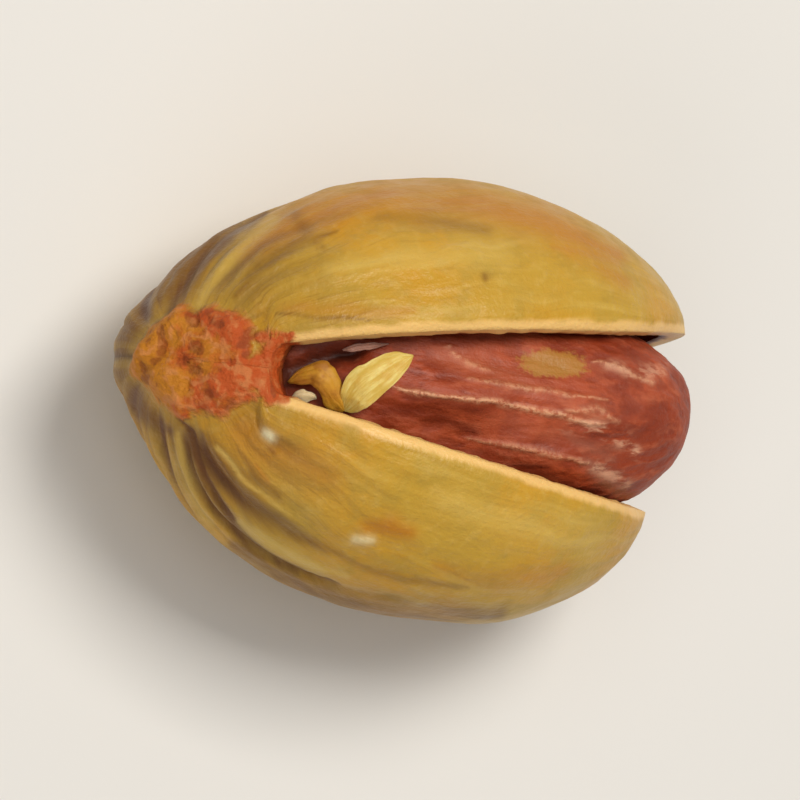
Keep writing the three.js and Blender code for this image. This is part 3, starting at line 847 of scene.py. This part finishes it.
# The dried seed stalk: thin leaves, each between two edges that are drawn on the slanted flat, with
# its height over the kernel along it, how far its middle is raised, and its tint: 1 for ochre, 0 for
# yellow, -1 for the white crumb and -2 for the lilac sliver.
LEAVES = [
    {
        "left": [(-3.8, 0.62), (-3.5, 0.95), (-3.1, 1.18), (-2.65, 1.32), (-2.3, 1.12), (-2.02, 0.7),
                 (-1.86, 0.2), (-1.8, -0.3)],
        "right": [(-3.74, 0.56), (-3.4, 0.5), (-3.05, 0.48), (-2.8, 0.34), (-2.66, 0.1), (-2.55, -0.15),
                  (-2.3, -0.36), (-1.95, -0.42)],
        "height": (0.1, 0.25, 0.4, 0.5, 0.45, 0.35, 0.25, 0.15),
        "bow": 0.16,
        "tint": 1.0,
    },
    {
        "left": [(-1.97, -0.3), (-2.0, 0.12), (-1.9, 0.6), (-1.62, 0.98), (-1.2, 1.22), (-0.75, 1.46),
                 (-0.2, 1.62), (0.45, 1.52)],
        "right": [(-1.86, -0.4), (-1.55, -0.44), (-1.2, -0.3), (-0.85, -0.06), (-0.5, 0.26),
                  (-0.1, 0.62), (0.26, 1.06), (0.46, 1.46)],
        "height": (0.15, 0.3, 0.5, 0.62, 0.68, 0.66, 0.55, 0.4),
        "bow": -0.12,
        "tint": 0.0,
    },
    {
        "left": [(-3.7, 0.04), (-3.5, 0.3), (-3.2, 0.4), (-2.92, 0.2), (-2.8, 0.05)],
        "right": [(-3.68, 0.0), (-3.5, -0.1), (-3.25, -0.14), (-3.0, -0.02), (-2.82, 0.02)],
        "height": (0.2, 0.3, 0.34, 0.3, 0.2),
        "bow": 0.1,
        "tint": -1.0,
    },
    {
        "left": [(-1.95, 1.7), (-1.6, 1.86), (-1.1, 1.92), (-0.7, 1.94), (-0.35, 1.9)],
        "right": [(-1.9, 1.64), (-1.55, 1.6), (-1.1, 1.68), (-0.75, 1.76), (-0.4, 1.86)],
        "height": (0.15, 0.3, 0.35, 0.25, 0.1),
        "bow": 0.08,
        "tint": -2.0,
    },
]
LEAF_HALF_THICKNESS = 0.05
LEAF_EDGE_WAVER = 0.07
LEAF_CRINKLE = 0.05
LEAF_FURROW = 0.05
LEAF_ROWS = 70
LEAF_COLUMNS = 44


def kernel_height(x, y):
    """Height of the kernel's plain surface over a place."""
    share = np.minimum(np.abs(x - KERNEL_CENTRE[0]) / KERNEL_HALF[0], 0.999)
    girth = (1 - share**KERNEL_BLUNTNESS) ** (1 / KERNEL_BLUNTNESS)
    aside = np.minimum(np.abs(y - KERNEL_CENTRE[1]) / (girth * KERNEL_HALF[1]), 0.95)
    return KERNEL_CENTRE[2] + KERNEL_HALF[2] * girth * np.sqrt(1 - aside**2)


def over_kernel(places, height):
    """Points at a height over the kernel that stand on places of the slanted flat."""
    flat = places + SLANT_MIDDLE
    points = flat[..., :1] * SLANT_RIGHT + flat[..., 1:] * SLANT_UP
    for _ in range(8):
        wanted = kernel_height(points[..., 0], points[..., 1]) + height
        points = points + ((wanted - points[..., 2]) / SLANT_OUT[2])[..., None] * SLANT_OUT
    return points


def smooth_path(path, count):
    """Points spread evenly along a smooth line through the places of a path."""
    places = np.array(path, float)
    padded = np.vstack([2 * places[0] - places[1], places, 2 * places[-1] - places[-2]])
    spans = len(places) - 1
    position = np.linspace(0, spans, count)
    index = np.minimum(position.astype(int), spans - 1)
    t = (position - index)[:, None]
    p0, p1, p2, p3 = (padded[index + k] for k in range(4))
    return 0.5 * (
        2 * p1 + (p2 - p0) * t + (2 * p0 - 5 * p1 + 4 * p2 - p3) * t**2
        + (3 * p1 - p0 - 3 * p2 + p3) * t**3
    )


def leaf_sheet(leaf):
    """A closed thin leaf, as rows of points round it, with how far across it each point is."""
    left = smooth_path(leaf["left"], LEAF_ROWS)
    right = smooth_path(leaf["right"], LEAF_ROWS)
    height = smooth_path([(part,) for part in leaf["height"]], LEAF_ROWS)
    around = np.linspace(0, 2 * np.pi, LEAF_COLUMNS + 1)
    across = (1 - np.cos(around)) / 2
    places = left[:, None] * (1 - across)[:, None] + right[:, None] * across[:, None]
    fade = np.sin(np.linspace(0, np.pi, LEAF_ROWS))[:, None] ** 0.5
    edge = np.stack([places[..., 0], places[..., 1], np.full(places.shape[:2], leaf["tint"])], axis=-1)
    places = places + LEAF_EDGE_WAVER * fade[..., None] * rough_over(edge, 2.4, 2)[..., None]
    raised = leaf["bow"] * (4 * across * (1 - across) - 0.5) * fade
    points = over_kernel(places, height + raised)
    wide = np.linalg.norm(left - right, axis=-1)[:, None]
    furrows = np.stack(np.broadcast_arrays(across * 3.2, height, 0.0), axis=-1)
    crinkle = LEAF_CRINKLE * rough_over(points, 1.5, 2, leaf["tint"])
    crinkle = crinkle + LEAF_FURROW * noise_over(furrows, 1.7)
    thick = LEAF_HALF_THICKNESS * np.minimum(1, wide * 5) * np.sin(around)
    points = points + (crinkle * fade + thick)[..., None] * SLANT_OUT
    ends = np.repeat(points[[0, -1]].mean(axis=1, keepdims=True), LEAF_COLUMNS + 1, axis=1)
    across = np.broadcast_to(across, (LEAF_ROWS + 2, LEAF_COLUMNS + 1))
    return np.concatenate([ends[:1], points, ends[1:]]), across


def make_stalk():
    stalk = Mesh("tint", "across", "along")
    for leaf in LEAVES:
        points, across = leaf_sheet(leaf)
        along = np.linspace(0, 1, LEAF_ROWS + 2)[:, None]
        stalk.add_sheet(points, True, tint=leaf["tint"], across=across, along=along)
    stalk.finish("stalk_leaves", "funicle", stalk_look())


class Look:
    """One procedural material and short ways to add its nodes."""

    def __init__(self, name):
        self.material = bpy.data.materials.new(name)
        self.material.use_nodes = True
        self.nodes = self.material.node_tree.nodes
        self.links = self.material.node_tree.links
        self.shader = self.nodes["Principled BSDF"]

    def link(self, source, socket):
        """Sets a socket from another node's output, a number or a colour."""
        if isinstance(source, bpy.types.NodeSocket):
            self.links.new(source, socket)
        elif isinstance(source, tuple) and len(source) == 3 and len(socket.default_value) == 4:
            socket.default_value = (*source, 1)
        else:
            socket.default_value = source

    def add(self, kind, inputs, output=0, **settings):
        """The output of a new node, with its settings and what its inputs are set to."""
        node = self.nodes.new("ShaderNode" + kind)
        for name, setting in settings.items():
            setattr(node, name, setting)
        for socket, source in inputs.items():
            self.link(source, node.inputs[socket])
        return node.outputs[output]

    def value(self, name):
        """A number kept on the mesh."""
        return self.add("Attribute", {}, "Fac", attribute_name=name)

    def math(self, operation, a, b):
        return self.add("Math", {0: a, 1: b}, operation=operation)

    def times(self, a, b):
        return self.math("MULTIPLY", a, b)

    def plus(self, a, b):
        return self.math("ADD", a, b)

    def vector(self, x, y, z):
        return self.add("CombineXYZ", {0: x, 1: y, 2: z})

    def stretched(self, x, y, z):
        """Object coordinates in millimetres, stretched by a share for each axis."""
        place = self.add("TexCoord", {}, "Object")
        scale = (x / MILLIMETRE, y / MILLIMETRE, z / MILLIMETRE)
        return self.add("VectorMath", {0: place, 1: scale}, operation="MULTIPLY")

    def noise(self, place, scale, detail=3.0, roughness=0.55):
        inputs = {"Vector": place, "Scale": scale, "Detail": detail, "Roughness": roughness}
        return self.add("TexNoise", inputs)

    def between(self, value, low, high, to_low=0.0, to_high=1.0):
        """A smooth rise from one number to another while value goes from low to high."""
        inputs = {"Value": value, "From Min": low, "From Max": high, "To Min": to_low, "To Max": to_high}
        return self.add("MapRange", inputs, interpolation_type="SMOOTHSTEP")

    def ragged(self, value, noise, amount):
        """A value made uneven by noise, by up to an amount either way."""
        return self.plus(value, self.between(noise, 0.3, 0.7, -amount, amount))

    def mix(self, share, a, b):
        """Two colours mixed."""
        return self.add("Mix", {0: share, 6: a, 7: b}, 2, data_type="RGBA")

    def tinted(self, colour, tint, value, *span):
        """A colour with a tint laid over it where value lies in a span that between takes."""
        return self.mix(self.between(value, *span), colour, tint)

    def stained(self, colour, tint, share, *shares):
        """A colour with a tint laid over it as strongly as the product of the shares."""
        for part in shares:
            share = self.times(share, part)
        return self.mix(share, colour, tint)

    def bumps(self, *heights):
        """Bumps on top of each other, each a height and how many millimetres it rises."""
        under = {}
        for height, millimetres in heights:
            inputs = {"Height": height, "Distance": millimetres * MILLIMETRE}
            under = {"Normal": self.add("Bump", inputs | under)}
        return under["Normal"]

    def shade(self, **settings):
        """Sets sockets of the shader by name, with _ for a space."""
        for name, source in settings.items():
            self.link(source, self.shader.inputs[name.replace("_", " ")])


def srgb(red, green, blue):
    """A colour of 0 to 255 as the numbers that light works in."""
    parts = np.array([red, green, blue]) / 255
    linear = np.where(parts <= 0.04045, parts / 12.92, ((parts + 0.055) / 1.055) ** 2.4)
    return tuple(float(part) for part in linear)


SHELL_TAN = srgb(198, 157, 56)
SHELL_OLIVE = srgb(180, 147, 56)
SHELL_GOLD = srgb(206, 152, 38)
SHELL_PALE = srgb(220, 186, 96)
# The colour of the painted highlights on the shell's lumps
PAINTED_HIGHLIGHT_CREAM = srgb(246, 232, 186)
SHELL_BROWN = srgb(102, 56, 8)
SHELL_UMBER = srgb(78, 42, 10)
SHELL_AMBER = srgb(186, 108, 14)
# The split edge's own pale colour, brightened as a painted highlight
MARGIN_PEACH = srgb(248, 202, 126)
SCAR_GOLD = srgb(194, 122, 20)
SCAR_RED = srgb(190, 82, 26)
SCAR_PALE = srgb(212, 138, 80)
SCAR_DARK = srgb(126, 54, 10)
INNER_TAN = srgb(140, 66, 24)
INNER_RED = srgb(122, 38, 10)
# The shell's masks in the order that they are laid on, with their strength and tint. The pale marks and
# the white glints are painted highlights; the grooves, the brown marks and the amber marks are partly the
# shell's own colour and partly painted shade.
SHELL_STAINS_AND_PAINTED_LIGHT = (
    ("amber", 0.8, SHELL_AMBER),
    ("groove", 1.0, SHELL_BROWN),
    ("brown", 1.0, SHELL_BROWN),
    ("pale", 0.85, SHELL_PALE),
    ("painted_highlight", 1.0, PAINTED_HIGHLIGHT_CREAM),
)
SEAM_STRENGTH = 0.7


def shell_streaks(look, place):
    """Broad and fine noise, drawn out along the rays from the scar."""
    waver = look.times(look.noise(place, 0.3, 1), 0.25)
    ray = look.vector(
        look.times(look.plus(look.value("ray_x"), waver), 7.0),
        look.times(look.value("ray_y"), 0.16),
        look.times(look.value("ray_z"), 5.0),
    )
    return look.noise(ray, 1.2, 3, 0.5), look.noise(ray, 4.5, 2, 0.5)


def shell_colour(look, place, cloud, blotch, streak, fine_streak):
    """Golden tan, clouded and streaked, and browner towards the stem."""
    from_stem = look.value("ray_y")
    colour = look.tinted(SHELL_TAN, SHELL_GOLD, look.noise(place, 0.22, 3), 0.38, 0.62)
    colour = look.tinted(colour, SHELL_OLIVE, cloud, 0.45, 0.7, 0, 0.6)
    colour = look.tinted(colour, SHELL_PALE, streak, 0.5, 0.7, 0, 0.35)
    colour = look.tinted(colour, SHELL_PALE, blotch, 0.5, 0.72, 0, 0.25)
    lines = look.between(fine_streak, 0.52, 0.72, 0, 0.24)
    colour = look.stained(colour, SHELL_BROWN, lines, look.between(from_stem, 3.0, 11.0, 1, 0.3))
    return look.stained(colour, SHELL_BROWN, look.between(from_stem, 2.0, 7.5, 0.5, 0), streak)


def lay_stains_and_painted_light(look, colour, cloud, streak):
    """Lays the marks with their painted highlights and painted shade, the dark seam, the pale margin and
    the red inside over the shell's colour.
    """
    broken = look.between(streak, 0.35, 0.6, 0.65, 1)
    for name, strength, tint in SHELL_STAINS_AND_PAINTED_LIGHT:
        colour = look.stained(colour, tint, look.value(name), broken, strength)
    colour = look.stained(colour, SHELL_UMBER, look.value("seam"), SEAM_STRENGTH)
    # The split's pale edge: its own colour, made brighter as a painted highlight along it
    margin = look.ragged(look.value("margin"), cloud, 0.06)
    colour = look.tinted(colour, MARGIN_PEACH, margin, 0.18, 0.42, 0.9, 0)
    inner = look.tinted(INNER_TAN, INNER_RED, cloud, 0.4, 0.6)
    return look.tinted(colour, inner, look.value("inside"), 0.15, 0.8)


def scar_colour(look, cloud, blotch):
    """Golden at the scar's stem side, redder beyond, with painted shade where its crumbs sink and paler on
    their crests.
    """
    redder = look.ragged(look.value("scar_along"), cloud, 1.2)
    crumbs = look.value("crumbs")
    colour = look.tinted(SCAR_GOLD, SCAR_RED, redder, -0.9, 1.2)
    colour = look.tinted(colour, SCAR_DARK, crumbs, 0.2, 0.5, 0.6, 0)
    colour = look.tinted(colour, SCAR_PALE, crumbs, 0.7, 0.92, 0, 0.55)
    return look.tinted(colour, SCAR_PALE, blotch, 0.5, 0.68, 0, 0.35)


def shell_look():
    look = Look("shell_wall")
    place = look.stretched(1, 1, 1)
    cloud = look.noise(place, 0.9, 4, 0.6)
    blotch = look.noise(place, 2.4, 3, 0.55)
    grain = look.noise(place, 7.0, 3, 0.6)
    streak, fine_streak = shell_streaks(look, place)
    around_scar = look.math("MAXIMUM", look.value("scar"), look.value("rust"))
    ragged = look.ragged(around_scar, blotch, 0.18)
    on_scar = look.between(ragged, 0.12, 0.75)
    fibres = look.times(look.noise(place, 4.5, 4, 0.6), on_scar)

    colour = shell_colour(look, place, cloud, blotch, streak, fine_streak)
    colour = lay_stains_and_painted_light(look, colour, cloud, streak)
    rough = look.between(cloud, 0.35, 0.7, 0.35, 0.5)
    look.shade(
        Base_Color=look.mix(on_scar, colour, scar_colour(look, cloud, blotch)),
        Roughness=look.plus(rough, look.times(on_scar, 0.25)),
        Normal=look.bumps((grain, 0.03), (blotch, 0.05), (fine_streak, 0.018), (fibres, 0.12)),
        Specular_IOR_Level=0.34,
        Subsurface_Weight=0.08,
        Subsurface_Scale=0.0006,
        Subsurface_Radius=(1.0, 0.6, 0.3),
    )
    return look.material


SKIN_PINK = srgb(176, 76, 38)
SKIN_BROWN = srgb(150, 56, 20)
SKIN_ROSE = srgb(192, 98, 62)
SKIN_DARK = srgb(116, 36, 10)
HOLLOW_PAINTED_SHADE = srgb(70, 26, 10)
# The colour of the painted shade in the hollow at the kernel's stem end
SKIN_PALE = srgb(236, 180, 138)
MEAL_WHITE = srgb(232, 178, 144)
BRUISE_PURPLE = srgb(148, 92, 72)
SPOT_OLIVE = srgb(178, 126, 48)
# The kernel's masks in the order that they are laid on, with their strength and tint; the dark at the stem
# end is painted shade, and some dark marks are painted shadow under the rim
KERNEL_STAINS_AND_PAINTED_SHADE = (
    ("rose", 0.6, SKIN_ROSE),
    ("dark", 0.7, SKIN_DARK),
    ("shaded_hollow", 0.85, HOLLOW_PAINTED_SHADE),
    ("bruise", 0.7, BRUISE_PURPLE),
)
MEAL_STRENGTH = 0.7


def skin_colour(look, cloud, mottle):
    """Brownish pink and mottled, with painted shade in the troughs of its wrinkles and a painted rosy
    highlight on their crests.
    """
    wrinkle = look.value("wrinkle")
    colour = look.tinted(SKIN_BROWN, SKIN_PINK, cloud, 0.42, 0.64)
    colour = look.tinted(colour, SKIN_ROSE, mottle, 0.52, 0.72, 0, 0.7)
    colour = look.tinted(colour, SKIN_DARK, mottle, 0.3, 0.46, 0.65, 0)
    colour = look.tinted(colour, SKIN_DARK, wrinkle, 0.3, 0.55, 0.4, 0)
    return look.tinted(colour, SKIN_ROSE, wrinkle, 0.72, 0.9, 0, 0.35)


def lay_stains_and_painted_shade(look, colour, mottle, grain):
    """Lays the marks with their painted shade, the pale seam, the mealy flakes and the spot over the
    skin's colour.
    """
    for name, strength, tint in KERNEL_STAINS_AND_PAINTED_SHADE:
        colour = look.stained(colour, tint, look.value(name), strength)
    broken = look.between(grain, 0.35, 0.6, 0.2, 0.8)
    colour = look.stained(colour, SKIN_PALE, look.value("ridge"), broken)
    flakes = look.between(mottle, 0.45, 0.6)
    colour = look.stained(colour, MEAL_WHITE, look.value("mealy"), flakes, MEAL_STRENGTH)
    rough_spot = look.ragged(look.value("spot"), grain, 0.1)
    return look.tinted(colour, SPOT_OLIVE, rough_spot, 0.28, 0.6, 0, 0.85)


def kernel_look():
    look = Look("kernel_surface")
    place = look.stretched(1, 1, 1)
    cloud = look.noise(place, 0.45, 4, 0.6)
    mottle = look.noise(look.stretched(0.35, 1, 1), 1.8, 4, 0.65)
    grain = look.noise(place, 6.0, 3, 0.6)
    colour = skin_colour(look, cloud, mottle)
    look.shade(
        Base_Color=lay_stains_and_painted_shade(look, colour, mottle, grain),
        Roughness=look.between(mottle, 0.35, 0.7, 0.5, 0.68),
        Normal=look.bumps((grain, 0.03), (mottle, 0.06)),
        Specular_IOR_Level=0.5,
        Subsurface_Weight=0.1,
        Subsurface_Scale=0.0005,
        Subsurface_Radius=(1.0, 0.4, 0.25),
    )
    return look.material


LEAF_YELLOW = srgb(216, 178, 76)
LEAF_PALE = srgb(238, 214, 128)
LEAF_OCHRE = srgb(204, 146, 40)
LEAF_BROWN = srgb(168, 108, 26)
LEAF_WHITE = srgb(226, 202, 156)
LEAF_LILAC = srgb(168, 122, 106)


def stalk_look():
    look = Look("stalk_leaf")
    tint = look.value("tint")
    fibre = look.vector(
        look.times(look.value("across"), 3.4), look.times(look.value("along"), 1.6), tint
    )
    strands = look.noise(fibre, 1.5, 4, 0.65)
    cloud = look.noise(look.stretched(1, 1, 1), 1.6, 3)
    colour = look.tinted(LEAF_YELLOW, LEAF_PALE, strands, 0.4, 0.65)
    colour = look.tinted(colour, LEAF_OCHRE, cloud, 0.5, 0.7, 0, 0.4)
    ochre = look.tinted(LEAF_OCHRE, LEAF_BROWN, cloud, 0.4, 0.65)
    colour = look.tinted(colour, ochre, tint, 0.1, 0.9)
    colour = look.tinted(colour, LEAF_WHITE, tint, -0.9, -0.1, 1, 0)
    look.shade(
        Base_Color=look.tinted(colour, LEAF_LILAC, tint, -1.9, -1.1, 1, 0),
        Roughness=look.between(cloud, 0.3, 0.7, 0.5, 0.65),
        Normal=look.bumps((strands, 0.05)),
        Specular_IOR_Level=0.45,
        Subsurface_Weight=0.2,
        Subsurface_Scale=0.0004,
        Subsurface_Radius=(1.0, 0.7, 0.35),
    )
    return look.material


FLOOR_SIZE = 1.2
FLOOR_COLOUR = (0.8, 0.79, 0.77)


def make_floor():
    """A plain pale floor under the nut."""
    half = FLOOR_SIZE / 2
    mesh = bpy.data.meshes.new("floor")
    corners = [(-half, -half, 0), (half, -half, 0), (half, half, 0), (-half, half, 0)]
    mesh.from_pydata(corners, [], [(0, 1, 2, 3)])
    floor = place_object("floor", mesh)
    look = Look("floor_paper")
    look.shade(Base_Color=FLOOR_COLOUR, Roughness=0.85, Specular_IOR_Level=0.2)
    mesh.materials.append(look.material)


NUT_MIDDLE = Vector((0, 0, 0.0064))
# Each lamp: its direction from the nut as right, up and out from the slanted flat, its distance and
# size in metres, its power in watts and its colour
LAMPS = {
    "key": ((0.55, 0.4, 0.9), 0.3, 0.12, 0.62, (1.0, 0.95, 0.87)),
    "fill": ((-0.35, -0.65, 0.75), 0.35, 0.25, 0.2, (1.0, 0.98, 0.95)),
    "top": ((0.1, 0.1, 1.0), 0.4, 0.3, 0.3, (1.0, 0.98, 0.94)),
}
SKY_COLOUR = (1.0, 0.98, 0.95)
SKY_STRENGTH = 0.22


def add_lamp(name, towards, distance, size, power, colour):
    """A square area lamp that shines on the nut."""
    right, up, out = towards
    direction = right * SLANT_RIGHT + up * SLANT_UP + out * SLANT_OUT
    direction = Vector(direction).normalized()
    data = bpy.data.lights.new(name, "AREA")
    data.size = size
    data.energy = power
    data.color = colour
    lamp = place_object(name, data)
    lamp.location = NUT_MIDDLE + direction * distance
    lamp.rotation_euler = direction.to_track_quat("Z", "Y").to_euler()


def light_studio():
    for name, settings in LAMPS.items():
        add_lamp(name, *settings)
    world = bpy.data.worlds.new("studio")
    world.use_nodes = True
    background = world.node_tree.nodes["Background"]
    background.inputs["Color"].default_value = (*SKY_COLOUR, 1)
    background.inputs["Strength"].default_value = SKY_STRENGTH
    bpy.context.scene.world = world


CAMERA_DISTANCE = 0.32
CAMERA_LENS = 420
CAMERA_SENSOR = 36
CAMERA_NEAR = 0.01
CAMERA_FAR = 5


def make_camera():
    """A camera that looks square at the slanted flat."""
    data = bpy.data.cameras.new("camera")
    data.lens = CAMERA_LENS
    data.sensor_width = CAMERA_SENSOR
    data.clip_start = CAMERA_NEAR
    data.clip_end = CAMERA_FAR
    camera = place_object("camera", data)
    aside = SLANT_MIDDLE[0] * SLANT_RIGHT + SLANT_MIDDLE[1] * SLANT_UP
    aim = (AXIS_PLACE + aside) * MILLIMETRE
    axes = Matrix([SLANT_RIGHT, SLANT_UP, SLANT_OUT]).transposed().to_4x4()
    camera.matrix_world = Matrix.Translation(aim + SLANT_OUT * CAMERA_DISTANCE) @ axes
    bpy.context.scene.camera = camera


make_shell()
make_kernel()
make_stalk()
make_floor()
light_studio()
make_camera()
bpy.context.scene.view_settings.view_transform = "Standard"
